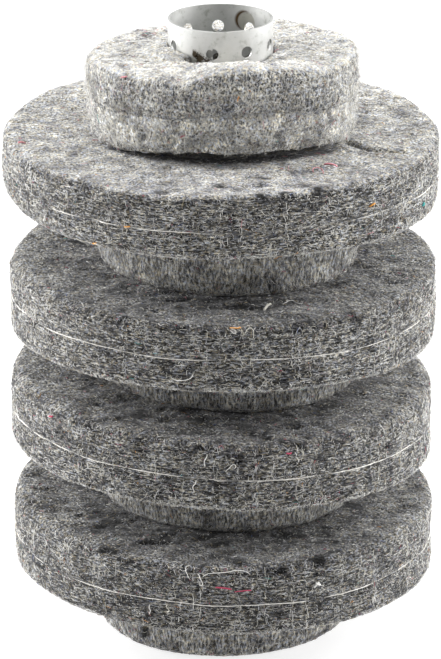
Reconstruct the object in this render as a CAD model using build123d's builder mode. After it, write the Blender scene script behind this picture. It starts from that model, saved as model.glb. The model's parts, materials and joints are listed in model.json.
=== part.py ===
"""Nine thick felt discs, four large between five small, threaded on a perforated core tube.

Millimetres, +Z up along the tube. The origin is on the tube's axis, in the bottom face of the
lowest disc, and -Y is the front, where the tube's lap seam lies. Angles round the tube are measured
from the front, positive towards +X.

Every disc is one piece of needled felt: a lower web and an upper web of loose wool, needled
together through a thin woven scrim.
"""

import os
from math import cos, radians, sin

from build123d import *

# Core tube: a strip of perforated sheet, rolled with its outer end lapped over its inner end.
tube_length = 117.0
sheet = 0.4
bore_radius = 9.2
wall_radius = bore_radius + sheet
lap_radius = wall_radius + sheet

inner_edge_angle = -8.6
outer_edge_angle = -30.3
ramp_start_angle = 15.0

# Perforations: straight columns and rows. The first column pierces the lapped end only.
hole_radius = 1.1
hole_columns = 9
column_pitch_angle = 38.3
first_column_angle = inner_edge_angle
hole_rows = 18
row_pitch = 6.3
rim_to_first_row = 4.1

# Felt discs.
large_radius = 40.0
small_radius = 24.5
felt_bore_radius = lap_radius + 0.15
scrim_thickness = 0.3
large_edge_round = 1.5
small_edge_round = 2.5

# (name, outer radius, lower web thickness, upper web thickness), from the bottom up.
# Each disc rests on the one below it.
discs = [
    ("small_1", small_radius, 5.6, 6.8),
    ("large_1", large_radius, 5.6, 6.9),
    ("small_2", small_radius, 5.5, 5.8),
    ("large_2", large_radius, 5.7, 6.3),
    ("small_3", small_radius, 4.9, 5.2),
    ("large_3", large_radius, 5.8, 5.8),
    ("small_4", small_radius, 5.9, 6.8),
    ("large_4", large_radius, 4.8, 6.1),
    ("small_5", small_radius, 7.0, 8.4),
]

# The top disc's upper face rises towards the front.
top_face_slope = 3.5


def around(radius, angle):
    """A point on a circle about the tube's axis, at an angle from the front."""
    return (radius * sin(radians(angle)), -radius * cos(radians(angle)))


def drill_column(angle, start_radius):
    """Cut one column of perforations through the sheet, from start_radius outward."""
    direction = Vector(*around(1, angle), 0)
    middle_height = tube_length - rim_to_first_row - row_pitch * (hole_rows - 1) / 2
    column_plane = Plane(
        origin=direction * start_radius + Vector(0, 0, middle_height),
        x_dir=direction.cross(Vector(0, 0, 1)),
        z_dir=direction,
    )
    with BuildSketch(column_plane) as column_holes:
        with GridLocations(1, row_pitch, 1, hole_rows):
            Circle(hole_radius)
    reach = lap_radius - start_radius + sheet
    extrude(column_holes.sketch, amount=reach, mode=Mode.SUBTRACT)


# The lapped end: the sheet climbs from the wall's radius over its own inner end.
with BuildPart() as lapped_end:
    with BuildSketch():
        with BuildLine():
            ramp_middle = (ramp_start_angle + inner_edge_angle) / 2
            lap_middle = (inner_edge_angle + outer_edge_angle) / 2
            ThreePointArc(
                around(bore_radius, ramp_start_angle),
                around(bore_radius + sheet / 2, ramp_middle),
                around(wall_radius, inner_edge_angle),
            )
            ThreePointArc(
                around(wall_radius, inner_edge_angle),
                around(wall_radius, lap_middle),
                around(wall_radius, outer_edge_angle),
            )
            Line(around(wall_radius, outer_edge_angle), around(lap_radius, outer_edge_angle))
            ThreePointArc(
                around(lap_radius, outer_edge_angle),
                around(lap_radius, lap_middle),
                around(lap_radius, inner_edge_angle),
            )
            ThreePointArc(
                around(lap_radius, inner_edge_angle),
                around(wall_radius + sheet / 2, ramp_middle),
                around(wall_radius, ramp_start_angle),
            )
            Line(around(wall_radius, ramp_start_angle), around(bore_radius, ramp_start_angle))
        make_face()
    extrude(amount=tube_length)
    drill_column(first_column_angle, bore_radius)

# The rest of the wall, from the ramp round the back to the inner end, welded under the lap.
with BuildPart() as core_tube:
    with BuildSketch():
        with BuildLine():
            wall_middle = (ramp_start_angle + inner_edge_angle + 360) / 2
            ThreePointArc(
                around(bore_radius, ramp_start_angle),
                around(bore_radius, wall_middle),
                around(bore_radius, inner_edge_angle),
            )
            Line(around(bore_radius, inner_edge_angle), around(wall_radius, inner_edge_angle))
            ThreePointArc(
                around(wall_radius, inner_edge_angle),
                around(wall_radius, wall_middle),
                around(wall_radius, ramp_start_angle),
            )
            Line(around(wall_radius, ramp_start_angle), around(bore_radius, ramp_start_angle))
        make_face()
    extrude(amount=tube_length)
    for column in range(1, hole_columns):
        drill_column(first_column_angle + column * column_pitch_angle, bore_radius - sheet)
    add(lapped_end.part)


def felt_web(name, radius, bottom, thickness, edge_round, round_top, slope=0.0):
    """One layer of felt: a ring with a soft outer edge on the side away from the scrim."""
    overshoot = radius * sin(radians(slope))
    with BuildPart() as web:
        with BuildSketch(Plane.XY.offset(bottom)):
            Circle(radius)
            Circle(felt_bore_radius, mode=Mode.SUBTRACT)
        extrude(amount=thickness + overshoot)
        if slope:
            slanted_face = Plane(
                origin=(0, 0, bottom + thickness),
                z_dir=(0, sin(radians(slope)), cos(radians(slope))),
            )
            split(bisect_by=slanted_face, keep=Keep.BOTTOM)
        outer_face = web.faces().sort_by(Axis.Z)[-1 if round_top else 0]
        fillet(outer_face.edges().sort_by(SortBy.LENGTH)[-1], edge_round)
    web.part.label = name
    return web.part


def scrim(name, radius, bottom):
    """The thin woven layer between a disc's two webs."""
    with BuildPart() as layer:
        with BuildSketch(Plane.XY.offset(bottom)):
            Circle(radius)
            Circle(felt_bore_radius, mode=Mode.SUBTRACT)
        extrude(amount=scrim_thickness)
    layer.part.label = name
    return layer.part


os.makedirs("parts", exist_ok=True)

core_tube.part.label = "core_tube"
export_step(core_tube.part, "parts/core_tube.step")

level = 0.0
for name, radius, lower_thickness, upper_thickness in discs:
    edge_round = large_edge_round if radius == large_radius else small_edge_round
    slope = top_face_slope if name == discs[-1][0] else 0.0
    scrim_level = level + lower_thickness
    upper_level = scrim_level + scrim_thickness
    layers = [
        felt_web(f"{name}_lower_web", radius, level, lower_thickness, edge_round, False),
        scrim(f"{name}_scrim", radius, scrim_level),
        felt_web(f"{name}_upper_web", radius, upper_level, upper_thickness, edge_round, True, slope),
    ]
    for layer in layers:
        export_step(layer, f"parts/{layer.label}.step")
    level = upper_level + upper_thickness
    print(f"{name}: top at {level:.1f} mm")
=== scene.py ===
"""Looks of the felt disc stack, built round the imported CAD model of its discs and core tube.

The CAD core tube stays and gets its metal. Each felt disc's CAD rings are replaced by two webs of
needled wool, a scrim and loose fibres. Shapes are worked out in millimetres, and new_mesh() turns
them into metres. Angles are measured round the tube from the front, -Y, and grow towards +X.
"""

import json
import math

import bpy
import numpy as np
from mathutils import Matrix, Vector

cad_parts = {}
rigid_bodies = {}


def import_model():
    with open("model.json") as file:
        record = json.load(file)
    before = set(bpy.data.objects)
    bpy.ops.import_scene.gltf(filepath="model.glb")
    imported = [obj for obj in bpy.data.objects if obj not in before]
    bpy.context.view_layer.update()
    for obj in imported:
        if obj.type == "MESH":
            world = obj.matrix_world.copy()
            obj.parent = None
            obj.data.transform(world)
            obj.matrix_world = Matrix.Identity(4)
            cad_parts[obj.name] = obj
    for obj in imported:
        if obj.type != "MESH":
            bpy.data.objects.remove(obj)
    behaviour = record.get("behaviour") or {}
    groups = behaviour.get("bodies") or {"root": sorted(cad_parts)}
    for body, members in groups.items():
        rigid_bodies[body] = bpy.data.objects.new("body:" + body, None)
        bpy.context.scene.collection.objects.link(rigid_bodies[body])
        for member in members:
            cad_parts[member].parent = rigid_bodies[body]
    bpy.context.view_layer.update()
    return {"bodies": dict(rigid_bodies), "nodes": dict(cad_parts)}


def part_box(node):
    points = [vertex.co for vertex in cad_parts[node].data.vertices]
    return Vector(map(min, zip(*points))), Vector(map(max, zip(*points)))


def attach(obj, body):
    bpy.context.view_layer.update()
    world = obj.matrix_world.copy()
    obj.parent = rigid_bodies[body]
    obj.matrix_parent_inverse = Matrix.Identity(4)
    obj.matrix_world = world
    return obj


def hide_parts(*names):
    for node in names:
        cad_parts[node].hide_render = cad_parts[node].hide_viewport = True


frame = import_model()

MM = 0.001
# From the bottom up. The lowest disc is on the tube's own body.
DISC_NAMES = ["small_1"] + [body for body in frame["bodies"] if body != "core"]
HIGHEST_LARGE_DISC, TOP_DISC = DISC_NAMES[-2:]


# ---------------- camera, floor and light

CAMERA_PLACE = (0, -0.640, 0.2965)
CAMERA_PITCH_DOWN = 20.55
CAMERA_LENS = 199.4
SENSOR_WIDTH = 36

AIM_HEIGHT = 0.06
# Soft square lights round the stack: place, width and power.
SOFTBOXES = {
    "top_box": ((0.0, 0.16, 0.95), 0.8, 5.0),
    "left_box": ((-0.88, 0.16, 0.46), 0.6, 17.6),
    "right_box": ((0.89, 0.14, 0.47), 0.6, 15.4),
    "back_box": ((0.0, 1.30, 0.56), 0.9, 0.6),
}
WORLD_STRENGTH = 0.42
WHITE = (1, 1, 1, 1)
FLOOR_GREY = (0.35, 0.35, 0.35, 1)
FLOOR_GLOW = 0.75
FLOOR_WIDTH = 6
FLOOR_DROP = 0.0005


def set_inputs(node, values):
    """Set a node's named inputs to constants."""
    for name, value in values.items():
        node.inputs[name].default_value = value


def stand(name, data, place, rotation):
    """Put a camera or a light in the scene."""
    made = bpy.data.objects.new(name, data)
    made.location = place
    made.rotation_euler = rotation
    bpy.context.scene.collection.objects.link(made)
    return made


def make_camera():
    data = bpy.data.cameras.new("camera")
    data.lens = CAMERA_LENS
    data.sensor_width = SENSOR_WIDTH
    pitch = math.radians(90 - CAMERA_PITCH_DOWN)
    bpy.context.scene.camera = stand("camera", data, CAMERA_PLACE, (pitch, 0, 0))


def make_floor():
    """A plain floor that glows a little, so that it comes out white."""
    bpy.ops.mesh.primitive_plane_add(size=FLOOR_WIDTH, location=(0, 0, -FLOOR_DROP))
    floor = bpy.context.object
    floor.name = "floor"
    floor.data.materials.append(shader_nodes("floor_white", {
        "Base Color": FLOOR_GREY,
        "Roughness": 0.9,
        "Specular IOR Level": 0.1,
        "Emission Color": WHITE,
        "Emission Strength": FLOOR_GLOW,
    })[0])


def make_light():
    """A white world, and the lights, which look at the middle of the stack."""
    world = bpy.data.worlds.new("studio")
    world.use_nodes = True
    set_inputs(world.node_tree.nodes["Background"], {"Color": WHITE, "Strength": WORLD_STRENGTH})
    bpy.context.scene.world = world
    for name, (place, width, power) in SOFTBOXES.items():
        data = bpy.data.lights.new(name, "AREA")
        data.size = width
        data.energy = power
        x, y, z = np.array([0, 0, AIM_HEIGHT]) - np.array(place)
        turn = (math.atan2(math.hypot(x, y), -z), 0, math.atan2(-x, y))
        stand(name, data, place, turn).visible_camera = False
    bpy.context.scene.view_settings.view_transform = "Standard"


# ---------------- noise

CORNERS = [(i, j, k) for i in (0, 1) for j in (0, 1) for k in (0, 1)]
TABLE_SIZE = 256
table_random = np.random.default_rng(11)
SHUFFLE = table_random.permutation(TABLE_SIZE)
GRADIENTS = table_random.normal(size=(TABLE_SIZE, 3))
GRADIENTS /= np.linalg.norm(GRADIENTS, axis=1)[:, None]
SEED_STEP = 37.7
NOISE_GAIN = 1.6


def noise(x, y, z, size, seed=0):
    """Smooth noise, about -1 to 1, at each point. size is the lumps' size in mm, one or per axis."""
    x, y, z = np.broadcast_arrays(x, y, z)
    place = np.stack([x, y, z], -1) / np.asarray(size, float) + SEED_STEP * seed
    cell = np.floor(place).astype(np.int64)
    inside = place - cell
    ease = inside**3 * (inside * (inside * 6 - 15) + 10)
    total = np.zeros(x.shape)
    for corner in CORNERS:
        i, j, k = np.moveaxis((cell + corner) % TABLE_SIZE, -1, 0)
        slopes = GRADIENTS[SHUFFLE[(SHUFFLE[(SHUFFLE[i] + j) % TABLE_SIZE] + k) % TABLE_SIZE]]
        weight = np.prod(np.where(corner, ease, 1 - ease), -1)
        total += weight * ((inside - corner) * slopes).sum(-1)
    return NOISE_GAIN * total


def mottle(x, y, z):
    """The wool's dark and pale patches, about -1 to 1."""
    return 0.7 * noise(x, y, z, 4.0, 90) + 0.6 * noise(x, y, z, (1.9, 1.9, 1.4), 91)


def smooth_step(value, low, high):
    """0 below low, 1 above high, and smooth between them."""
    share = np.clip((value - low) / (high - low), 0, 1)
    return share * share * (3 - 2 * share)


def steps(start, end, count):
    """Values from one to another, both included."""
    return [start * (1 - share) + end * share for share in np.linspace(0, 1, count)]


def between(angle, rise, fall):
    """1 from the end of the rise to the start of the fall, and 0 outside them."""
    return smooth_step(angle, *rise) * (1 - smooth_step(angle, *fall))


def angle_of(x, y):
    """The angle of a place, from the front."""
    return np.degrees(np.arctan2(x, -y))


def plan(angle, radius):
    """The X and the Y of places at angles from the front."""
    turn = np.radians(angle)
    return radius * np.sin(turn), -radius * np.cos(turn)


def at(angle, radius, height):
    """Points at angles from the front."""
    return np.stack(np.broadcast_arrays(*plan(angle, radius), height), -1)


# ---------------- the discs' shapes

# Lean to the right in degrees of each large disc. A small disc fits between its two neighbours.
LEAN = {"large_1": 1.2, "large_2": 2.4, "large_3": 1.0, "large_4": 0.25}
# How far a disc's outline is off the tube's axis, to the right.
OFF_CENTRE = {
    "small_1": 0.6, "large_1": 0.5, "small_2": 1.4, "large_2": 0.35, "small_3": 0.9,
    "large_3": 0.45, "small_4": 1.4, "large_4": 0.1, "small_5": 0.35,
}
# How far it is inside the CAD ring's outline.
TRIM = {
    "small_1": 0.55, "large_1": 0.45, "small_2": 0.3, "large_2": 0.55, "small_3": 0.3,
    "large_3": 0.55, "small_4": 0.5, "large_4": 0.1, "small_5": -0.45,
}
# Radii of the upper and the lower edge.
EDGE_ROUNDS = {"large": (1.4, 1.2), "small": (2.0, 1.2), "top": (1.7, 2.2)}
# How round a large disc's upper edge is at its far left and far right; its front edge is sharper.
SIDE_ROUND = {
    "large_1": (2.6, 2.0), "large_2": (3.0, 3.0), "large_3": (2.7, 1.5), "large_4": (1.3, 1.5),
}
# How much higher the highest large disc's top is at the back.
BACK_RISE = 0.7
BACK_RISE_BAND = (0, 28)
BACK_RISE_OUT = (25, 31)
# How much rounder the highest large disc's lower edge is at its far left.
LOWER_LEFT_ROUND = 2.8
# How far the felt droops at the lower edge, at the front and more at the sides.
DROOP_OUT = (27, 38)
DROOP = {"large_1": (0.6, 0.4), "large_2": (0.6, 0.8), "large_3": (0.6, 1.2), "large_4": (0.4, 0.6)}
# The bore's clearances, and the lap seam's middle, half width and ease in degrees.
TUBE_CLEARANCE = 0.12
LAP_CLEARANCE = 0.1
LAP_MIDDLE = -10
LAP_HALF_WIDTH = 32
LAP_EASE = 14
# Half the gap between a disc's two webs, which its scrim fills.
LARGE_SCRIM_GAP = 0.06
SMALL_SCRIM_GAP = 0.015
# Inside this radius a large disc's faces are covered, and plain. The top disc's lifted front shows
# more of the face below it.
COVERED_RADIUS = 22.0
UNDER_TOP_RADIUS = 17.0
# Where the top disc's upper face is seen down to.
TOP_FACE_INNER_RADIUS = 11

# The top disc's felt is pushed up at the front, and lifts off the large disc below it. Pairs are
# where a shape rises or falls, in degrees or in mm.
TOP_FACE_BELOW_RIM = 6.0
RIDGE_HEIGHT = 3.4
RIDGE_LEFT = (-20, 4)
RIDGE_RIGHT = (8, 66)
SHOULDER_HEIGHT = 1.2
SHOULDER_LEFT = (-110, -50)
SHOULDER_RIGHT = (-18, 4)
FRONT_LIFT = 2.5
LIFT_LEFT = (-62, -8)
LEFT_LIFT_SHARE = 0.3
RIDGE_OUT = (9.5, 22.5)
LIFT_OUT = (4, 23)
FACE_SLOPE = 0.035
RAG_HEIGHT = 0.4
RAGS_OUT = (17, 22)
# A pocket in the felt beside the tube's lap, and how the felt climbs the tube.
POCKET_ANGLE = -23
POCKET_DEPTH = 3.2
POCKET_HALF_WIDTH = 13
POCKET_EASE = 6
POCKET_OUT = (11.5, 13.5)
COLLAR_OUT = (10, 15)
COLLAR_HEIGHT = 0.5
COLLAR_TILT = 0.9
# Pits in the top disc's side: angle, share of the height, radius and depth.
PITS = [
    (-44, 0.47, 0.6, 1.0), (-35, 0.22, 0.8, 1.2), (-21, 0.18, 0.9, 1.2), (-5, 0.12, 1.5, 1.8),
    (24, 0.2, 0.7, 1.0), (52, 0.3, 0.7, 1.0), (118, 0.3, 0.9, 1.2), (170, 0.5, 0.7, 1.0),
    (-120, 0.25, 0.9, 1.2),
]
# A small disc's side bulges, and the top disc's tapers towards its foot.
BULGE = 0.5
INSET = 0.3
TAPER = 1.3
TAPER_POWER = 1.5
# The groove round the top disc's side: its depth, and its share of the height and half width.
SEAM_GROOVE = 0.7
GROOVE_SHARE = 0.46
GROOVE_HALF_WIDTH = 0.06

# The crack under the top disc's lifted front: its ends in degrees, its oval's half axes, and its
# width and depth in the large disc's top. The wool in it is painted dark: painted shade under the lifted
# edge.
CRACK_LEFT = (-72, -45)
CRACK_RIGHT = (42, 70)
CRACK_HALF_AXES = (24.4, 19.2)
CRACK_WIDTH = 1.3
CRACK_DEPTH = 0.5
# How much the painted shade darkens the wool in the crack.
CRACK_PAINTED_SHADE = 2.2

# A crease in the top of the highest large disc, from under the small disc's edge to the right.
CREASE = [(21.5, -2.5), (23.6, -9.0), (27.0, -12.4), (33.0, -14.0)]
CREASE_DEPTH = 1.0
CREASE_WIDTH = 0.6


def turned(angle_from, angle_to):
    """Smallest turn between two angles in degrees."""
    return (angle_from - angle_to + 180) % 360 - 180


def distance_to(line, x, y):
    """Distance of each place to a line through a list of points."""
    nearest = np.full(np.shape(x), np.inf)
    for (x0, y0), (x1, y1) in zip(line, line[1:]):
        run_x, run_y = x1 - x0, y1 - y0
        share = np.clip(((x - x0) * run_x + (y - y0) * run_y) / (run_x**2 + run_y**2), 0, 1)
        nearest = np.minimum(nearest, np.hypot(x - x0 - share * run_x, y - y0 - share * run_y))
    return nearest


# How much darker the lowest discs are, and the painted shade on a large disc's top near the small disc
# above it.
DARKER = {"small_1": 0.25, "large_1": 0.14, "large_2": 0.06}
NEAR_SMALL_DISC = (25, 35)
PAINTED_SHADE_NEAR_SMALL_DISC = 0.60
# Painted shade on the large discs' tops towards the front: how much darker, and where that starts and is
# full.
PAINTED_SHADE_IN_FRONT = 0.50
FRONT_BAND = (16, 36)
# How far below the top face these two reach.
NEAR_TOP = (3, 4)
ON_TOP = (0.8, 1.8)

# Lumps in the felt: their height and size in mm, and a seed of their own.
SEAM_WAVE = (0.35, 16, 0)
BORE_WAVE = (0.1, 3.0, 0)
LARGE_WAVE = (0.35, 19, 0)
SMALL_WAVE = (0.5, 19, 0)
RAGS = (1.0, 3.2, 11)
FINE_RAGS = (0.6, 1.4, 12)
SIDE_LAYERS = (0.22, (7, 7, 0.7), 20)
SIDE_CLEFTS = (1.0, (6, 6, 0.7), 30)
LARGE_SIDE_LUMPS = (0.25, (11, 11, 6), 40)
SMALL_SIDE_LUMPS = (0.45, (9, 9, 6), 40)
SMALL_SIDE_TUFTS = (0.25, (1.6, 1.6, 4), 45)
BROKEN_GROOVE = (1.0, 7, 47)
SIDE_GRAIN = (0.15, 0.9, 50)
UPPER_SEED, LOWER_SEED = 60, 70
FACE_LUMPS = (0.36, 8, 0)
FACE_STREAKS = (0.24, (3.6, 2.4, 2), 1)
FACE_CREASES = (1.0, (6, 2.2, 2), 2)
FACE_GRAIN = (0.15, 0.9, 3)
SCRIM_EDGE = (0.35, 5, 80)
# Where the noise of clefts and creases starts to cut in, and how deep they are.
CUT_IN = (0.42, 0.75)
CLEFT_DEPTH = 0.6
FACE_CREASE_DEPTH = 0.45


def crack(x, y):
    """1 in the crack under the top disc's front edge, and 0 away from it."""
    x = x - OFF_CENTRE[TOP_DISC]
    across, along = CRACK_HALF_AXES
    outside = (np.hypot(x / across, y / along) - 1) * along
    front = between(angle_of(x, y), CRACK_LEFT, CRACK_RIGHT)
    return front * np.exp(-((outside / CRACK_WIDTH) ** 2))


class Disc:
    """One felt disc's faces, edge and bore, as functions of the place on it, in mm."""

    def __init__(self, name):
        place = DISC_NAMES.index(name)
        self.name = name
        self.seed = place + 1
        self.large = name.startswith("large")
        self.under_top = name == HIGHEST_LARGE_DISC
        self.top_of_stack = name == TOP_DISC
        low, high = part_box(f"{name}_lower_web")
        tube_low, tube_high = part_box("core_tube")
        self.bottom = low.z / MM
        self.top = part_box(f"{name}_upper_web")[1].z / MM
        self.line = sum(corner.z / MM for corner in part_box(f"{name}_scrim")) / 2
        self.radius = high.x / MM - TRIM[name]
        self.shift = OFF_CENTRE[name]
        self.scrim_gap = LARGE_SCRIM_GAP if self.large else SMALL_SCRIM_GAP
        self.tube_radius = tube_high.x / MM
        self.lap_radius = -tube_low.y / MM
        self.top_round, self.bottom_round = EDGE_ROUNDS["large" if self.large else "small"]
        if self.top_of_stack:
            self.top = tube_high.z / MM - TOP_FACE_BELOW_RIM
            self.top_round, self.bottom_round = EDGE_ROUNDS["top"]
        below = DISC_NAMES[max(place - 1, 0)]
        above = DISC_NAMES[min(place + 1, len(DISC_NAMES) - 1)]
        self.lean_low = math.tan(math.radians(LEAN.get(name, LEAN.get(below, 0))))
        self.lean_high = math.tan(math.radians(LEAN.get(name, LEAN.get(above, 0))))

    def relief(self, lumps, x, y, z):
        """Height of one kind of lump at each place."""
        height, size, seed = lumps
        return height * noise(x, y, z, size, self.seed + seed)

    def patches_and_shade(self, points):
        """How pale the wool is: its patches, darker on the lowest discs, with painted shade on large
        discs in the crack, near the small disc above and towards the front.
        """
        x, y, z = points.T
        shade = mottle(x, y, z) - DARKER.get(self.name, 0)
        if self.large:
            below_top = self.upper(x, y) - z
            # Painted shade: in the crack under the top disc, or near the small disc above, and towards
            # the front.
            if self.under_top:
                painted_shade = CRACK_PAINTED_SHADE * crack(x, y)
            else:
                out = np.hypot(x, y)
                painted_shade = PAINTED_SHADE_NEAR_SMALL_DISC * (1 - smooth_step(out, *NEAR_SMALL_DISC))
            front = PAINTED_SHADE_IN_FRONT * smooth_step(-y, *FRONT_BAND)
            shade = shade - painted_shade * (1 - smooth_step(below_top, *NEAR_TOP))
            shade = shade - front * (1 - smooth_step(below_top, *ON_TOP))
        return shade

    def edge_rounds(self, angle):
        """Radii of the upper and the lower edge's rounding."""
        right = np.sin(np.radians(angle))
        upper = self.top_round + 0 * right
        lower = self.bottom_round + 0 * right
        if self.large:
            left_round, right_round = SIDE_ROUND[self.name]
            extra = np.where(right < 0, left_round, right_round) - self.top_round
            upper = upper + extra * right**2
        if self.under_top:
            lower = lower + LOWER_LEFT_ROUND * np.clip(-right, 0, 1) ** 2
        return upper, lower

    def bore(self, angle):
        """The bore's radius: close on the tube, and clear of its lap seam."""
        lap = smooth_step(LAP_HALF_WIDTH - np.abs(turned(angle, LAP_MIDDLE)), 0, LAP_EASE)
        right = np.sin(np.radians(angle))
        front = np.cos(np.radians(angle))
        wave = 0.1 + self.relief(BORE_WAVE, right * 9, front * 9, self.bottom)
        near_tube = self.tube_radius + TUBE_CLEARANCE + np.maximum(wave, 0)
        return np.maximum(near_tube, lap * (self.lap_radius + LAP_CLEARANCE))

    def lower(self, x, y):
        """Height of the lower face before its lumps."""
        height = self.bottom - self.lean_low * x
        out = np.hypot(x, y)
        if self.top_of_stack:
            rise = smooth_step(angle_of(x, y), *LIFT_LEFT)
            lift = FRONT_LIFT * (LEFT_LIFT_SHARE + (1 - LEFT_LIFT_SHARE) * rise)
            height = height + lift * smooth_step(-y, *LIFT_OUT)
            rags = self.relief(RAGS, x, y, 0) + self.relief(FINE_RAGS, x, y, 0)
            height = height + RAG_HEIGHT * rags * smooth_step(out, *RAGS_OUT)
        if self.large:
            front_droop, side_droop = DROOP[self.name]
            sideways = (x / np.maximum(out, 1)) ** 2
            droop = front_droop + side_droop * sideways
            height = height - droop * smooth_step(out, *DROOP_OUT)
        return height

    def upper(self, x, y):
        """Height of the upper face before its lumps."""
        height = self.top - self.lean_high * x
        out = np.hypot(x, y)
        if self.under_top:
            back = smooth_step(y, *BACK_RISE_BAND) * smooth_step(out, *BACK_RISE_OUT)
            height = height + BACK_RISE * back
        if self.top_of_stack:
            angle = angle_of(x, y)
            turn = np.radians(angle)
            ridge = between(angle, RIDGE_LEFT, RIDGE_RIGHT) * smooth_step(out, *RIDGE_OUT)
            shoulder = between(angle, SHOULDER_LEFT, SHOULDER_RIGHT)
            beside_lap = POCKET_HALF_WIDTH - np.abs(turned(angle, POCKET_ANGLE))
            pocket = smooth_step(beside_lap, 0, POCKET_EASE) * (1 - smooth_step(out, *POCKET_OUT))
            climb = COLLAR_HEIGHT - COLLAR_TILT * (np.sin(turn) + np.cos(turn))
            height = height + RIDGE_HEIGHT * ridge + SHOULDER_HEIGHT * shoulder
            height = height + climb * (1 - smooth_step(out, *COLLAR_OUT))
            height = height + FACE_SLOPE * (x - np.maximum(y, 0)) - POCKET_DEPTH * pocket
        return height

    def seam(self, x, y):
        """Height of the scrim between the two webs."""
        share = (self.line - self.bottom) / (self.top - self.bottom)
        height = self.lower(x, y) * (1 - share) + self.upper(x, y) * share
        return height + self.relief(SEAM_WAVE, x, y, self.bottom)

    def outline(self, angle):
        """The outer radius before rounding and lumps."""
        wave = LARGE_WAVE if self.large else SMALL_WAVE
        lumps = self.relief(wave, *plan(angle, self.radius), self.bottom)
        return self.radius + self.shift * np.sin(np.radians(angle)) + lumps

    def side(self, angle, height, detail=1.0):
        """The outer radius at a height, with its layers, clefts and rounded edges."""
        radius = self.outline(angle)
        x, y = plan(angle, radius)
        low = self.lower(x, y)
        high = self.upper(x, y)
        for gap, rounding in zip((high - height, height - low), self.edge_rounds(angle)):
            near = np.clip(1 - gap / rounding, 0, 1)
            radius = radius - rounding * (1 - np.sqrt(1 - near**2))
        middle = smooth_step(np.minimum(high - height, height - low), 0, 1.2)
        share = np.clip((height - low) / (high - low), 0, 1)
        if self.large:
            layers = self.relief(SIDE_LAYERS, x, y, height)
            cleft = smooth_step(self.relief(SIDE_CLEFTS, x, y, height), *CUT_IN)
            lumps = self.relief(LARGE_SIDE_LUMPS, x, y, height)
            radius = radius + detail * middle * (layers - CLEFT_DEPTH * cleft) + lumps
        else:
            lumps = self.relief(SMALL_SIDE_LUMPS, x, y, height)
            tufts = self.relief(SMALL_SIDE_TUFTS, x, y, height)
            radius = radius + middle * (lumps + detail * tufts) + BULGE * np.sin(np.pi * share) - INSET
        if self.top_of_stack:
            level = np.exp(-(((share - GROOVE_SHARE) / GROOVE_HALF_WIDTH) ** 2))
            groove = level * np.clip(0.5 + self.relief(BROKEN_GROOVE, x, y, 0), 0, 1)
            radius = radius - TAPER * (1 - share) ** TAPER_POWER - SEAM_GROOVE * groove
            for pit_angle, pit_share, pit_radius, pit_depth in PITS:
                along = np.radians(turned(angle, pit_angle)) * self.radius
                above = (share - pit_share) * (self.top - self.bottom)
                radius = radius - pit_depth * np.exp(-(along**2 + above**2) / pit_radius**2)
        return radius + detail * self.relief(SIDE_GRAIN, x, y, height)

    def face(self, x, y, upward, detail=1.0):
        """Height of a face with its lumps and the streaks of its carded wool."""
        lumps, streaks, creases, grain = [
            self.relief((height, size, seed + (UPPER_SEED if upward else LOWER_SEED)), x, y, 0)
            for height, size, seed in (FACE_LUMPS, FACE_STREAKS, FACE_CREASES, FACE_GRAIN)
        ]
        cuts = FACE_CREASE_DEPTH * smooth_step(creases, *CUT_IN)
        relief = lumps + streaks + detail * (grain - cuts)
        out = np.hypot(x, y)
        free = 0.0
        if self.large:
            free = smooth_step(out, COVERED_RADIUS - 0.5, COVERED_RADIUS + 2.5)
        if upward and self.under_top:
            crease = np.exp(-((distance_to(CREASE, x, y) / CREASE_WIDTH) ** 2))
            relief = relief - CREASE_DEPTH * crease - CRACK_DEPTH * crack(x, y)
        if upward:
            return self.upper(x, y) + relief * (1.0 if self.top_of_stack else free)
        return self.lower(x, y) - relief * free


# ---------------- meshes

def new_mesh(name, materials, points, face_sizes, corners, material_index=None):
    """A smooth-shaded mesh object from points in mm and flat arrays of polygon sizes and corners."""
    mesh = bpy.data.meshes.new(name)
    mesh.vertices.add(len(points))
    mesh.vertices.foreach_set("co", (np.asarray(points) * MM).astype(np.float32).ravel())
    mesh.loops.add(len(corners))
    mesh.loops.foreach_set("vertex_index", np.asarray(corners, np.int32))
    mesh.polygons.add(len(face_sizes))
    starts = np.concatenate([[0], np.cumsum(face_sizes)[:-1]])
    mesh.polygons.foreach_set("loop_start", starts.astype(np.int32))
    mesh.polygons.foreach_set("use_smooth", np.ones(len(face_sizes), bool))
    if material_index is not None:
        mesh.polygons.foreach_set("material_index", np.asarray(material_index, np.int32))
    mesh.update(calc_edges=True)
    mesh.validate()
    for material in materials:
        mesh.materials.append(material)
    made = bpy.data.objects.new(name, mesh)
    bpy.context.scene.collection.objects.link(made)
    return made


def ring_mesh(name, rows, material):
    """A closed ring and its points: rows is a closed loop of profile points, each all round."""
    loop, around = len(rows), len(rows[0])
    points = np.stack(rows).reshape(-1, 3)
    row, column = np.meshgrid(np.arange(loop), np.arange(around), indexing="ij")
    next_row, next_column = (row + 1) % loop, (column + 1) % around
    quads = np.stack([
        row * around + column,
        row * around + next_column,
        next_row * around + next_column,
        next_row * around + column,
    ], -1).reshape(-1, 4)
    return new_mesh(name, [material], points, np.full(len(quads), 4), quads.ravel()), points


# Points round a disc, about half a millimetre apart at its edge.
POINTS_AROUND = {True: 512, False: 352}
UPPER_SPACING = 0.55
LOWER_SPACING = 0.9
SIDE_SPACING = 0.42
ROUNDING_STEPS = 7


def around_disc(disc):
    """Angles of the points round a disc."""
    return np.linspace(0, 360, POINTS_AROUND[disc.large], endpoint=False)


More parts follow.
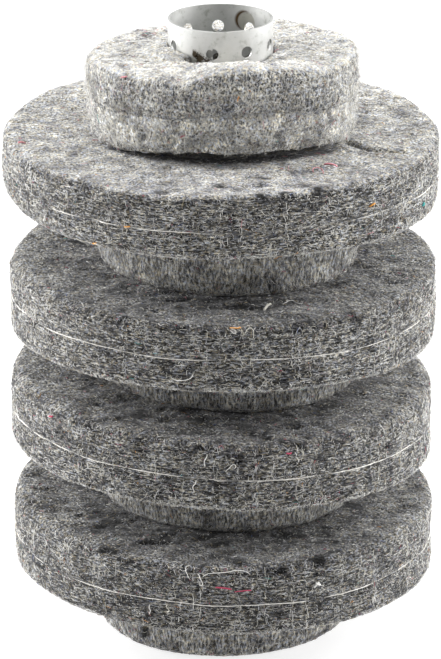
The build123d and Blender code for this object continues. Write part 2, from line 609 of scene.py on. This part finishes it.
def web_rows(disc, upward):
    """The closed profile of one web, from the seam along its bore, its face and its side, and back."""
    angle = around_disc(disc)
    bore = disc.bore(angle)
    outline = disc.outline(angle)
    way = 1 if upward else -1
    plain_face = disc.upper if upward else disc.lower
    rounding = disc.edge_rounds(angle)[0 if upward else 1]
    edge = outline - rounding
    level = plain_face(*plan(angle, outline))

    def seam_height(radius):
        return disc.seam(*plan(angle, radius)) + way * disc.scrim_gap

    def face_height(radius):
        return disc.face(*plan(angle, radius), upward)

    rows = [(bore, seam_height(bore)), (bore, face_height(bore) - way * 0.15)]
    top_face = disc.top_of_stack and upward
    covered = TOP_FACE_INNER_RADIUS if top_face else COVERED_RADIUS - 1
    open_count = 3
    if disc.large or top_face:
        open_count = int((edge.mean() - covered) / (UPPER_SPACING if upward else LOWER_SPACING))
    radii = steps(bore + 0.2, covered, 2 if top_face else 8)
    radii += steps(covered, edge, max(open_count, 3))[1:]
    rows += [(radius, face_height(radius)) for radius in radii]
    rim_relief = face_height(edge) - plain_face(*plan(angle, edge))
    for turn in np.radians(np.linspace(0, 90, ROUNDING_STEPS)[1:]):
        height = level - way * rounding * (1 - math.cos(turn))
        plain = edge + rounding * math.sin(turn)
        radius = disc.side(angle, height) * math.sin(turn) + plain * (1 - math.sin(turn))
        rows.append((radius, height + rim_relief * math.cos(turn)))
    start = level - way * rounding
    foot = seam_height(outline)
    count = max(6, int(np.abs(start - foot).mean() / SIDE_SPACING))
    rows += [(disc.side(angle, height), height) for height in steps(start, foot, count)[1:]]
    last = rows[-1][0]
    for share in (0.3, 0.65):
        radius = last * (1 - share) + bore * share
        rows.append((radius, seam_height(radius)))
    loop = [at(angle, radius, height) for radius, height in rows]
    return loop[::-1] if upward else loop


def make_web(disc, upward, material):
    name = f"{disc.name}_{'upper' if upward else 'lower'}_web"
    web, points = ring_mesh(f"{name}_felt", web_rows(disc, upward), material)
    # The mottle attribute holds the wool's patches together with the painted shade in the crack, near
    # the small disc and in front.
    patches_and_shade = web.data.attributes.new("mottle", "FLOAT", "POINT")
    patches_and_shade.data.foreach_set("value", (0.5 + 0.5 * disc.patches_and_shade(points)).astype(np.float32))
    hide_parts(name)
    return web


SCRIM_STEPS = 16
# How far the scrim's cut edge stands out of the side, and its usual place there.
SCRIM_REACH = (-1.2, 0.14)
SCRIM_STANDS_OUT = 0.05
UNDER_TOP_STANDS_OUT = -0.06
SMALL_STANDS_OUT = -0.95
WEAVE_HEIGHT = 0.3
WEAVE_TURNS = 4


def make_scrim(disc, material):
    """The thin woven sheet between the webs. Its cut edge shows here and there as a fine pale line."""
    angle = around_disc(disc)
    bore = disc.bore(angle)
    x, y = plan(angle, disc.outline(angle))
    show = disc.relief(SCRIM_EDGE, x, y, 0) + (
        UNDER_TOP_STANDS_OUT if disc.under_top else SCRIM_STANDS_OUT if disc.large else SMALL_STANDS_OUT)
    edge = disc.side(angle, disc.seam(x, y)) + np.clip(show, *SCRIM_REACH)
    rows = []
    for way in (1, -1):
        for radius in steps(bore, edge, SCRIM_STEPS)[::way]:
            x, y = plan(angle, radius)
            weave = WEAVE_HEIGHT * np.sin(x * WEAVE_TURNS) * np.sin(y * WEAVE_TURNS)
            rows.append(at(angle, radius, disc.seam(x, y) + (way + weave) * disc.scrim_gap))
    scrim, _ = ring_mesh(f"{disc.name}_scrim_cloth", rows[::-1], material)
    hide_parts(f"{disc.name}_scrim")
    return scrim


# ---------------- loose fibres

FIBRE_COLOURS = {
    "wool_white": (0.86, 0.85, 0.82),
    "wool_cream": (0.66, 0.64, 0.57),
    "wool_cool": (0.46, 0.475, 0.52),
    "wool_grey": (0.31, 0.307, 0.30),
    "wool_mauve": (0.40, 0.345, 0.36),
    "wool_dark": (0.075, 0.075, 0.085),
    "wool_tan": (0.38, 0.31, 0.19),
    "dyed_red": (0.45, 0.04, 0.10),
    "dyed_pink": (0.62, 0.25, 0.28),
    "dyed_orange": (0.72, 0.33, 0.07),
    "dyed_blue": (0.08, 0.13, 0.32),
    "dyed_teal": (0.04, 0.34, 0.33),
}
COLOUR_NAMES = list(FIBRE_COLOURS)
# How pale each colour is, against a middle one.
PALENESS = np.array([sum(colour) / 3 for colour in FIBRE_COLOURS.values()]) - 0.4

# Long loose hairs and dyed flecks on a disc's side or upper face: angle, share of the height or
# radius, heading from level, length, thickness, and any colour but wool_white.
HAIR_STATIONS = 12
PLACED_HAIRS = {
    ("large_1", "side"): [
        (2, 0.95, 10, 10, 0.17),
        (-5, 0.82, 80, 3.4, 0.17),
        (-9, 0.94, 95, 3.6, 0.15),
        (-14, 0.35, 80, 2.4, 0.22, "wool_cream"),
        (-19, 0.30, 85, 2.0, 0.22),
        (1, 0.72, -6, 3.2, 0.36, "dyed_red"),
        (6, 0.69, 2, 3.4, 0.26, "dyed_red"),
        (26, 0.66, 50, 1.5, 0.55),
        (26.5, 0.66, -30, 1.3, 0.50),
    ],
    ("large_2", "side"): [
        (-4, 0.77, 80, 2.8, 0.20),
        (-7, 0.37, 88, 2.8, 0.16),
        (3, 0.72, 10, 3.5, 0.15),
        (18, 0.86, 0, 1.2, 0.35, "dyed_red"),
        (-52, 0.85, 20, 1.4, 0.40, "dyed_red"),
    ],
    ("large_3", "side"): [
        (4, 0.93, 55, 2.6, 0.16),
        (8, 0.98, -12, 5.0, 0.16, "wool_cream"),
        (-9, 0.20, 15, 5.5, 0.15),
        (4, 0.98, 0, 2.2, 0.30, "dyed_orange"),
    ],
    ("large_3", "face"): [
        (16, 29.5, 75, 3.0, 0.60, "wool_cream"),
        (17, 29.0, 60, 2.6, 0.45, "wool_cream"),
        (27, 28.5, 4, 5.0, 0.14),
    ],
    ("small_2", "side"): [
        (-6, 0.75, -55, 5.0, 0.15),
    ],
    ("small_4", "side"): [
        (-20, 0.45, 80, 3.5, 0.14),
    ],
    ("large_4", "side"): [
        (-34, 0.07, 15, 1.2, 0.45, "dyed_orange"),
        (-33, 0.07, -15, 1.2, 0.45),
        (-24, 0.44, 10, 1.3, 0.30, "dyed_orange"),
        (42, 0.62, 20, 1.5, 0.40, "dyed_orange"),
        (65, 0.28, 30, 1.0, 0.45, "dyed_teal"),
        (10, 0.62, 0, 1.4, 0.50, "wool_dark"),
    ],
    ("large_4", "face"): [
        (42, 29.5, 2, 2.6, 0.35, "dyed_pink"),
        (36, 30.0, -2, 5.0, 0.18, "dyed_pink"),
        (-76, 37.0, -5, 1.6, 0.35, "dyed_pink"),
    ],
    ("small_5", "side"): [
        (-45, 0.95, 15, 1.5, 0.40, "dyed_pink"),
        (-16, 0.25, 30, 1.2, 0.32, "dyed_red"),
        (7, 0.68, 75, 1.1, 0.28, "dyed_orange"),
        (38, 0.75, 40, 5.5, 0.15),
    ],
    ("small_5", "face"): [
        (-117, 16.6, 5, 7.0, 0.13),
    ],
}
NEEDLE_COLUMNS = 110
TUFTS = 0.3
HANGING = 10
TOP_FACE_FIBRES = 6500
UPRIGHT = math.pi / 2
# How strongly the felt's patches choose a fibre's colour, and the share of each colour in a mix.
SHADE_STRENGTH = 3.5
FACE_MIX = [0.26, 0.18, 0.17, 0.15, 0.04, 0.14, 0.05, 0.002, 0.004, 0.001, 0.002, 0.0005]
STREAK_MIX = [0.17, 0.24, 0.22, 0.17, 0.05, 0.07, 0.05, 0.002, 0.005, 0.001, 0.002, 0.0005]
FRINGE_MIX = [0.40, 0.26, 0.14, 0.09, 0.03, 0.03, 0.04, 0.002, 0.003, 0.001, 0.002, 0.0005]
SIDE_MIX = [0.26, 0.18, 0.11, 0.08, 0.06, 0.24, 0.07, 0.003, 0.004, 0.003, 0.002, 0.001]
CURL_MIX = [0.70, 0.25, 0.03, 0.01, 0.0, 0.0, 0.01, 0.0, 0.0, 0.0, 0.0, 0.0]
WISP_MIX = [0.50, 0.20, 0.12, 0.08, 0.03, 0.04, 0.03, 0.002, 0.003, 0.001, 0.001, 0.0005]


# Fibres on the sides, by the side's area or its rim: how many for each mm2 or mm, their length,
# lift, least and most thickness, mix, and what else side_fibres takes.
LARGE_SIDE = [
    # Cut fibre ends, the layers' level fibres, and curly ones.
    ("area", 5.4, 0.5, 0.16, (0.09, 0.17), SIDE_MIX, dict(spread=1.1, curl=0.8, stations=3)),
    ("area", 1.3, 1.5, 0.16, (0.05, 0.10), SIDE_MIX, dict(spread=0.16, curl=0.35, stations=4)),
    ("area", 0.5, 1.6, 0.3, (0.045, 0.09), WISP_MIX, dict(spread=0.8, curl=1.7)),
]
SMALL_SIDE = [
    # Fuzz, a fringe along the lower edge, and upright tufts.
    ("area", 1.9, 1.5, 0.38, (0.04, 0.08), SIDE_MIX, dict(heading=UPRIGHT, spread=2.2, curl=2.0)),
    ("rim", 5, 1.7, 0.5, (0.05, 0.10), FACE_MIX, dict(spread=0.9, curl=2.2, high=0.10)),
    ("area", 0.7, 1.6, 0.30, (0.05, 0.09), FACE_MIX, dict(heading=UPRIGHT, spread=0.45, curl=1.2)),
]
TOP_LOOSE = [
    # A halo of long fine fibres, and the curls that stand out of it.
    ("area", 1.2, 3.4, 1.1, (0.025, 0.045), WISP_MIX, dict(spread=2.0, curl=1.8)),
    ("area", 0.14, 4.2, 0.9, (0.05, 0.085), CURL_MIX,
     dict(spread=2.5, curl=3.0, low=0.06, stations=9)),
]


def walk(random, count, stations, length, heading, spread, curl):
    """Curly paths on a flat surface: two arrays of offsets from each path's middle, in mm."""
    start = heading + random.normal(0, 1, count) * spread
    bend = random.normal(0, 1, count) * curl
    wiggle = random.uniform(0.2, 0.9, count) * curl
    phase = random.uniform(0, 2 * np.pi, count)
    along = np.linspace(-1, 1, stations)[None, :]
    wave = wiggle[:, None] * np.sin(3.5 * along + phase[:, None])
    direction = start[:, None] + bend[:, None] * along + wave
    step = (length / (stations - 1))[:, None]
    across = np.cumsum(np.cos(direction) * step, 1)
    upward = np.cumsum(np.sin(direction) * step, 1)
    middle = stations // 2
    return across - across[:, middle:middle + 1], upward - upward[:, middle:middle + 1]


def arch(random, count, stations, lift):
    """Heights over the surface: a low arch whose two ends dip into the felt."""
    along = np.linspace(0, 1, stations)[None, :]
    peak = lift * random.uniform(0.25, 1.0, count)[:, None]
    skew = random.uniform(-0.25, 0.25, count)[:, None]
    return peak * np.sin(np.pi * along) * (1 + skew * np.cos(np.pi * along)) - 0.07


def side_paths(disc, angle, share, across, upward, over, hang=-0.15, drape=0.0):
    """Paths on a disc's side, as centres and outward directions, from offsets along it and over it.
    They may hang below its lower edge, and drape straight down over that edge's rounding."""
    turn = angle[:, None] + np.degrees(across / disc.radius)
    x, y = plan(turn, disc.outline(turn))
    bottom, top = disc.lower(x, y), disc.upper(x, y)
    height = bottom + share[:, None] * (top - bottom) + upward
    height = np.clip(height, bottom - hang, top - 0.15)
    out = disc.side(turn, np.maximum(height, bottom + drape), detail=0.7) + over
    return at(turn, out, height), at(turn, 1.0, 0.0)


def face_paths(disc, angle, radius, across, along, over, upward):
    """Paths on a disc's upper or lower face, as centres and directions away from the felt."""
    x, y = plan(angle, radius)
    x, y = x[:, None] + across, y[:, None] + along
    way = 1 if upward else -1
    centres = np.stack([x, y, disc.face(x, y, upward, detail=0.7) + way * over], -1)
    normals = np.zeros_like(centres)
    normals[..., 2] = way
    out = np.hypot(x, y)
    around = angle_of(x, y)
    edge = disc.outline(around) - 0.6 * disc.edge_rounds(around)[0 if upward else 1]
    fits = ((out < edge) & (out > disc.bore(around) + 0.05)).all(1)
    return centres[fits], normals[fits]


def varied(random, length, count):
    return length * random.uniform(0.55, 1.45, count)


def side_fibres(disc, random, count, length, lift, thickness, mix, heading=0.0, spread=0.5, curl=1.2,
                low=0.02, high=0.98, stations=5, hang=-0.15, drape=0.0):
    """Coloured fibres between two shares of the side's height."""
    count = int(count)
    angle = random.uniform(0, 360, count)
    share = random.uniform(low, high, count)
    sizes = varied(random, length, count)
    across, upward = walk(random, count, stations, sizes, heading, spread, curl)
    over = arch(random, count, stations, lift)
    made = side_paths(disc, angle, share, across, upward, over, hang, drape)
    return coloured(disc, random, made, thickness, mix)


def needled_tufts(disc, random):
    """Upright fibres in columns, where rows of needles went through the felt."""
    count = int(2 * np.pi * disc.radius * (disc.top - disc.bottom) * TUFTS)
    column = random.uniform(0, 360, NEEDLE_COLUMNS)[random.integers(0, NEEDLE_COLUMNS, count)]
    angle = column + random.normal(0, 0.25, count)
    share = random.uniform(0.05, 0.95, count)
    sizes = random.uniform(0.8, 2.4, count)
    across, upward = walk(random, count, 5, sizes, UPRIGHT, 0.15, 0.6)
    made = side_paths(disc, angle, share, across, upward, arch(random, count, 5, 0.25))
    return coloured(disc, random, made, (0.06, 0.12), WISP_MIX)


def face_fibres(disc, random, count, inner, length, lift, upward, spread, curl, stations):
    """Paths of fibres on a face. The wool is carded along X."""
    count = int(count)
    radius = np.sqrt(random.uniform(inner**2, (disc.radius - 0.8) ** 2, count))
    angle = random.uniform(0, 360, count)
    sizes = varied(random, length, count)
    across, along = walk(random, count, stations, sizes, 0.0, spread, curl)
    over = arch(random, count, stations, lift)
    return face_paths(disc, angle, radius, across, along, over, upward)


def placed_hair(disc, random, where, angle, place, heading, length, thickness, colour="wool_white"):
    """One curly hair or straight fleck at a chosen place: a share of the height, or a radius."""
    curl = 0.2 if thickness > 0.25 else 1.3
    lift = 0.5 if length > 3 else 0.2
    sizes = np.array([length])
    across, upward = walk(random, 1, HAIR_STATIONS, sizes, math.radians(heading), 0.05, curl)
    over = arch(random, 1, HAIR_STATIONS, lift) + 0.1
    angle, place = np.array([angle]), np.array([place])
    if where == "side":
        centres, normals = side_paths(disc, angle, place, across, upward, over)
    else:
        centres, normals = face_paths(disc, angle, place, across, upward, over, True)
    count = len(centres)
    return centres, normals, np.full(count, thickness), np.full(count, COLOUR_NAMES.index(colour))


def unit(vectors):
    return vectors / np.maximum(np.linalg.norm(vectors, axis=-1, keepdims=True), 1e-9)


def fibre_mesh(paths):
    """Closed three-sided tubes along paths, tapering to a point at each end.
    paths is a list of (centres, normals, thickness, colour index), one array each."""
    all_points, all_sizes, all_corners, all_colours = [], [], [], []
    offset = 0
    sides = [(0, 1), (1, 2), (2, 0)]
    for centres, normals, thickness, colours in paths:
        count, stations = centres.shape[:2]
        tangent = unit(np.gradient(centres, axis=1))
        beside = unit(np.cross(tangent, normals))
        over = np.cross(beside, tangent)
        rings = np.stack([
            centres[:, 1:-1] + thickness[:, None, None] / 2
            * (math.cos(turn) * beside[:, 1:-1] + math.sin(turn) * over[:, 1:-1])
            for turn in np.radians([90, 210, 330])
        ], 2)
        points = np.concatenate([centres[:, :1], rings.reshape(count, -1, 3), centres[:, -1:]], 1)
        per = points.shape[1]
        quads = [
            [3 * k + a + 1, 3 * k + b + 1, 3 * k + b + 4, 3 * k + a + 4]
            for k in range(stations - 3) for a, b in sides
        ]
        tips = []
        for a, b in sides:
            tips += [[0, 1 + b, 1 + a], [per - 1, per - 4 + a, per - 4 + b]]
        base = offset + np.arange(count)[:, None, None] * per
        for shapes in (quads, tips):
            if shapes:
                all_corners.append((base + np.array(shapes)).ravel())
                all_sizes.append(np.full(count * len(shapes), len(shapes[0])))
                all_colours.append(np.repeat(colours, len(shapes)))
        all_points.append(points.reshape(-1, 3))
        offset += count * per
    return [np.concatenate(made) for made in (all_points, all_sizes, all_corners, all_colours)]


def coloured(disc, random, made, thickness, mix):
    """Paths with a thickness and a colour each: more often a pale one where the felt is pale."""
    centres, normals = made
    # A fibre's colour follows the felt's patches and its painted shade, so fibres are darker in the
    # painted shade too.
    shade = disc.patches_and_shade(centres[:, centres.shape[1] // 2])
    total = np.cumsum(np.array(mix) * np.exp(SHADE_STRENGTH * shade[:, None] * PALENESS), 1)
    pick = random.uniform(0, 1, len(shade)) * total[:, -1]
    colours = (pick[:, None] > total).sum(1)
    return centres, normals, random.uniform(*thickness, len(centres)), colours


def side_sets(disc, random, sets):
    """The fibres of each row of a table."""
    rim = 2 * np.pi * disc.radius
    amount = {"area": rim * (disc.top - disc.bottom), "rim": rim}
    return [
        side_fibres(disc, random, amount[by] * dense, length, lift, thickness, mix, **shape)
        for by, dense, length, lift, thickness, mix, shape in sets
    ]


def large_face_fibres(disc, random):
    """Short curly fibres on both faces, and the fringes along both edges."""
    area = np.pi * (disc.radius**2 - COVERED_RADIUS**2)
    inner, length, thick, spread, mix = COVERED_RADIUS, 1.05, 0.12, 1.2, FACE_MIX
    if disc.under_top:
        inner, length, thick, spread, mix = UNDER_TOP_RADIUS, 1.5, 0.10, 0.7, STREAK_MIX
    upper = face_fibres(disc, random, area * 2.4, inner, length, 0.22, True, spread, 1.4, 4)
    lower = face_fibres(disc, random, area * 0.6, COVERED_RADIUS, 1.05, 0.22, False, 1.2, 1.5, 4)
    made = [
        coloured(disc, random, upper, (thick / 2, thick), mix),
        coloured(disc, random, lower, (0.06, 0.12), FACE_MIX),
    ]
    return made + side_sets(disc, random, [
        ("rim", 6.5, 1.5, 0.4, (0.05, 0.11), FRINGE_MIX,
         dict(spread=0.8, curl=2.0, low=0.0, high=0.06, hang=0.45)),
        ("rim", 2.5, 1.5, 0.4, (0.05, 0.11), mix,
         dict(spread=0.8, curl=2.0, low=0.94, high=1.0)),
    ])


def top_side_fibres(disc, random):
    """Curly fuzz, a fringe that hangs over the lower edge, and upright tufts, more on the lower half."""
    drape = random.uniform(0.4, 2.2, int(2 * np.pi * disc.radius * HANGING))[:, None]
    return side_sets(disc, random, [
        ("area", 2.3, 1.5, 0.40, (0.04, 0.085), WISP_MIX, dict(spread=3.0, curl=1.9)),
        ("rim", HANGING, 1.8, 0.5, (0.05, 0.10), WISP_MIX,
         dict(spread=1.2, curl=2.4, high=0.08, hang=0.9, drape=drape)),
        ("area", 0.35, 1.9, 0.30, (0.06, 0.11), WISP_MIX,
         dict(heading=UPRIGHT, spread=0.4, curl=0.9)),
        ("area", 0.7, 2.0, 0.55, (0.05, 0.10), WISP_MIX,
         dict(heading=UPRIGHT, spread=0.7, curl=1.6, high=0.45)),
    ])


def make_fibres(disc, materials):
    """The loose fibres of one disc: those of its side, and where its faces show, those of its faces."""
    random = np.random.default_rng(100 + disc.seed)
    paths = {"side": [], "face": []}
    if disc.large:
        paths["side"] = side_sets(disc, random, LARGE_SIDE) + [needled_tufts(disc, random)]
        paths["face"] = large_face_fibres(disc, random)
    elif disc.top_of_stack:
        paths["side"] = top_side_fibres(disc, random)
        top = face_fibres(disc, random, TOP_FACE_FIBRES, 9.8, 1.7, 0.30, True, 1.3, 1.8, 5)
        paths["face"] = [coloured(disc, random, top, (0.045, 0.09), WISP_MIX)]
    else:
        paths["side"] = side_sets(disc, random, SMALL_SIDE)
    for where in paths:
        for hair in PLACED_HAIRS.get((disc.name, where), []):
            paths[where].append(placed_hair(disc, random, where, *hair))
    if disc.top_of_stack:
        paths["loose"] = side_sets(disc, random, TOP_LOOSE)
    return [
        new_mesh(f"{disc.name}_{where}_fibres", materials, *fibre_mesh(made))
        for where, made in paths.items() if made
    ]


# ---------------- materials

# The spot weld's heat mark, inside the tube at the back and near its rim.
WELD_PLACE = (4.45, 8.2, 114.2)
WELD_RADIUS = 2.1
# The pale middle of the mark, which leaves a dark crescent on its left.
WELD_PATCH = (4.95, 7.9, 114.0)
# Painted shade on the lap round the front hole, where the felt meets the tube: angle, distance from the
# axis, height and reach.
PAINTED_LAP_SHADE = [(-28, 10.0, 112.7, 1.7), (-22, 10.0, 112.0, 2.1), (-14, 10.0, 111.4, 1.9)]
# Painted shade on the inner sheet seen through the front hole, in the same terms.
INNER_SHEET_PAINTED_SHADE = (-12, 8.9, 112.9, 1.05)
UNTINTED = (1, 1, 1)
# A mix node's colour inputs and output.
COLOUR_A, COLOUR_B, COLOUR_OUT = 6, 7, 2

# Sizes in mm, by axis, of the felt's grain, layers and tints.
FACE_GRAIN_SIZES = (0.40, 0.38, 0.5)
LAYER_SIZES = (5, 5, 0.34)
TINT_SIZES = (0.6, 0.6, 0.4)
THREADS_PER_METRE = (900, 900, 900)


def shader_nodes(name, inputs):
    """A new material, its node tree and its Principled shader, with constants on the shader."""
    material = bpy.data.materials.new(name)
    material.use_nodes = True
    tree = material.node_tree
    shader = tree.nodes["Principled BSDF"]
    set_inputs(shader, inputs)
    return material, tree, shader


def add_node(tree, kind, constants=(), links=(), **settings):
    """A new shader node: constants and links are by input, and settings are the node's own."""
    node = tree.nodes.new(f"ShaderNode{kind}")
    for name, value in settings.items():
        setattr(node, name, value)
    set_inputs(node, dict(constants))
    for name, output in dict(links).items():
        tree.links.new(output, node.inputs[name])
    return node


def scaled_place(tree, scale):
    """The place on the object, in units of a pattern's size: scale is repeats per metre by axis."""
    place = add_node(tree, "TexCoord").outputs["Object"]
    return add_node(tree, "Mapping", {"Scale": scale}, {"Vector": place}).outputs["Vector"]


def noise_pattern(tree, sizes_mm, detail, roughness=0.6):
    place = scaled_place(tree, [1000 / size for size in sizes_mm])
    constants = {"Scale": 1.0, "Detail": detail, "Roughness": roughness}
    return add_node(tree, "TexNoise", constants, {"Vector": place}).outputs["Fac"]


def ramp(tree, value, stops):
    """Colours along a value: stops is a list of (place, colour)."""
    made = add_node(tree, "ValToRGB", links={"Fac": value})
    elements = made.color_ramp.elements
    while len(elements) < len(stops):
        elements.new(0.5)
    for element, (place, colour) in zip(elements, stops):
        element.position = place
        element.color = (*colour, 1)
    return made.outputs["Color"]


def mixed(tree, share, first, second):
    """Two colours mixed by a share."""
    links = {"Factor": share, COLOUR_A: first, COLOUR_B: second}
    return add_node(tree, "Mix", links=links, data_type="RGBA").outputs[COLOUR_OUT]


def times(tree, first, *others):
    """The product of colours."""
    for other in others:
        links = {COLOUR_A: first, COLOUR_B: other}
        node = add_node(tree, "Mix", {"Factor": 1.0}, links, data_type="RGBA", blend_type="MULTIPLY")
        first = node.outputs[COLOUR_OUT]
    return first


def grey(level):
    """A warm grey of the wool."""
    return (level, level * 0.985, level * 0.945)


def upward_share(tree, low, high):
    """1 where the surface looks up, and 0 on a cut side or an underside."""
    normal = add_node(tree, "NewGeometry").outputs["Normal"]
    up = add_node(tree, "SeparateXYZ", links={0: normal}).outputs["Z"]
    share = add_node(tree, "MapRange", {"From Min": low, "From Max": high}, {"Value": up},
                     interpolation_type="SMOOTHSTEP")
    return share.outputs["Result"]


def salt_and_pepper(tree, sizes_mm, levels):
    """Pale fibres over dark gaps: levels are the gaps', the middle and the fibres' brightness."""
    pattern = noise_pattern(tree, sizes_mm, 2.5, 0.7)
    stops = [(place, grey(level)) for place, level in zip((0.38, 0.50, 0.62), levels)]
    return pattern, ramp(tree, pattern, stops)


def felt_material(name, side_levels, face_levels, side_sizes, layer_depth):
    """Needled wool: a cut side with layers and dark gaps, and streaky faces."""
    material, tree, shader = shader_nodes(name, {
        "Roughness": 1.0, "Specular IOR Level": 0.05, "Sheen Weight": 0.2, "Sheen Roughness": 0.5,
    })
    side_grain, side = salt_and_pepper(tree, side_sizes, side_levels)
    _, face = salt_and_pepper(tree, FACE_GRAIN_SIZES, face_levels)
    deep, pale = 1 - layer_depth, 1 + layer_depth
    shade = ramp(tree, noise_pattern(tree, LAYER_SIZES, 2.0), [
        (0.36, (deep,) * 3), (0.50, UNTINTED), (0.64, (pale,) * 3),
    ])
    coat = mixed(tree, upward_share(tree, 0.45, 0.8), times(tree, side, shade), face)
    # The mottle attribute darkens the wool by its patches and by painted shade on the large discs.
    patches_and_shade = add_node(tree, "Attribute", attribute_name="mottle")
    patch = ramp(tree, patches_and_shade.outputs["Fac"], [
        (0.0, (0.05,) * 3), (0.12, (0.42, 0.42, 0.44)), (0.8, (1.38, 1.38, 1.35)),
    ])
    hue = ramp(tree, noise_pattern(tree, TINT_SIZES, 2.0), [
        (0.36, (0.88, 0.96, 1.16)), (0.50, UNTINTED), (0.64, (1.12, 1.03, 0.84)),
    ])
    tree.links.new(times(tree, coat, patch, hue), shader.inputs["Base Color"])
    bump = add_node(tree, "Bump", {"Strength": 0.8, "Distance": 0.2 * MM}, {"Height": side_grain})
    tree.links.new(bump.outputs["Normal"], shader.inputs["Normal"])
    return material


def fibre_material(name, colour):
    return shader_nodes(name, {
        "Base Color": (*colour, 1), "Roughness": 0.75, "Specular IOR Level": 0.25, "Sheen Weight": 0.15,
    })[0]


def scrim_material():
    material, tree, shader = shader_nodes("scrim_weave", {"Roughness": 0.8})
    colours = {"Scale": 1.0, "Color1": (0.62, 0.60, 0.56, 1), "Color2": (0.78, 0.76, 0.72, 1)}
    place = scaled_place(tree, THREADS_PER_METRE)
    weave = add_node(tree, "TexChecker", colours, {"Vector": place})
    tree.links.new(weave.outputs["Color"], shader.inputs["Base Color"])
    return material


def share_of_reach(tree, place, radius):
    """The distance to a place in mm, as a share of a radius."""
    here = add_node(tree, "TexCoord").outputs["Object"]
    reach = add_node(tree, "VectorMath", {1: [c * MM for c in place]}, {0: here}, operation="DISTANCE")
    distance = reach.outputs["Value"]
    share = add_node(tree, "MapRange", {"From Max": radius * MM}, {"Value": distance}, clamp=False)
    return share.outputs["Result"]


def tube_material():
    """Satin sheet steel with faint spotting, painted shade on the lap by the felt and on the inner sheet
    behind the front hole, and a spot weld's heat mark inside.
    """
    material, tree, shader = shader_nodes("satin_steel", {"Metallic": 1.0})
    spots = noise_pattern(tree, (1.6, 1.6, 1.6), 6.0, 0.7)
    metal = ramp(tree, spots, [
        (0.32, (0.44, 0.45, 0.42)), (0.45, (0.64, 0.645, 0.63)), (0.72, (0.70, 0.70, 0.69)),
    ])
    scorch = ramp(tree, share_of_reach(tree, WELD_PLACE, WELD_RADIUS), [
        (0.80, (0.16, 0.10, 0.05)), (1.0, UNTINTED),
    ])
    in_patch = share_of_reach(tree, WELD_PATCH, WELD_RADIUS)
    patch = ramp(tree, in_patch, [
        (0.0, (0.70, 0.68, 0.62)), (0.84, (0.74, 0.72, 0.66)), (0.85, UNTINTED),
    ])
    weld_mark_and_shade = mixed(tree, ramp(tree, in_patch, [(0.80, UNTINTED), (0.95, (0, 0, 0))]), scorch, patch)
    specks = noise_pattern(tree, (0.30, 0.30, 0.30), 3.0, 0.8)
    # Painted shade: dark patches with ragged edges on the lap where the felt meets the tube.
    for angle, out, height, reach in PAINTED_LAP_SHADE:
        share = share_of_reach(tree, at(angle, out, height), reach)
        ragged = add_node(tree, "Math", links={0: share, 1: specks}, operation="ADD").outputs["Value"]
        lap_shade = ramp(tree, ragged, [(0.80, (0.14, 0.11, 0.08)), (0.999, UNTINTED)])
        weld_mark_and_shade = times(tree, weld_mark_and_shade, lap_shade)
    # Painted shade: the inner sheet seen through the front hole is darkened.
    angle, out, height, reach = INNER_SHEET_PAINTED_SHADE
    behind = share_of_reach(tree, at(angle, out, height), reach)
    hole_shade = ramp(tree, behind, [(0.93, (0.42, 0.42, 0.41)), (1.0, UNTINTED)])
    tree.links.new(times(tree, metal, times(tree, weld_mark_and_shade, hole_shade)), shader.inputs["Base Color"])
    dull = add_node(tree, "MapRange", {"To Min": 0.40, "To Max": 0.58}, {"Value": spots})
    tree.links.new(dull.outputs["Result"], shader.inputs["Roughness"])
    return material


# ---------------- making it all

make_camera()
make_floor()
make_light()

fibre_materials = [fibre_material(name, colour) for name, colour in FIBRE_COLOURS.items()]
# Brightness of the gaps, the middle and the fibres on cut sides and on faces, grain sizes, layers.
LARGE_GRAIN = (0.90, 0.90, 0.26)
TOP_GRAIN = (0.38, 0.38, 0.6)
TOP_FACE_LEVELS = (0.22, 0.45, 0.68)
# The lower large discs' wool is a darker copy of the highest large disc's, mostly on the faces: painted
# shade for their faces in the slots between the discs.
shaded_large_felt = felt_material(
    "large_disc_wool", (0.006, 0.066, 0.31), (0.006, 0.125, 0.46), LARGE_GRAIN, 0.55)
upper_large_felt = felt_material(
    "upper_large_disc_wool", (0.007, 0.080, 0.35), (0.06, 0.33, 0.62), LARGE_GRAIN, 0.55)
small_felt = felt_material(
    "small_disc_wool", (0.05, 0.26, 0.62), (0.08, 0.28, 0.52), (0.36, 0.36, 1.2), 0.12)
top_felts = [
    felt_material("top_disc_lower_wool", (0.08, 0.50, 0.90), TOP_FACE_LEVELS, TOP_GRAIN, 0.15),
    felt_material("top_disc_upper_wool", (0.03, 0.23, 0.60), TOP_FACE_LEVELS, TOP_GRAIN, 0.25),
]
scrim_cloth = scrim_material()

core_tube = frame["nodes"]["core_tube"]
core_tube.data.materials.clear()
core_tube.data.materials.append(tube_material())

for disc_name in DISC_NAMES:
    disc = Disc(disc_name)
    slot, lower_felt, upper_felt = "small_disc_felt", small_felt, small_felt
    if disc.large:
        slot, lower_felt, upper_felt = "large_disc_felt", shaded_large_felt, shaded_large_felt
    if disc.under_top:
        lower_felt, upper_felt = upper_large_felt, upper_large_felt
    if disc.top_of_stack:
        slot, (lower_felt, upper_felt) = "pale_felt", top_felts
    felts = [make_web(disc, False, lower_felt), make_web(disc, True, upper_felt)]
    felts += make_fibres(disc, fibre_materials)
    for piece in [*felts, make_scrim(disc, scrim_cloth)]:
        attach(piece, "core" if disc_name == DISC_NAMES[0] else disc_name)
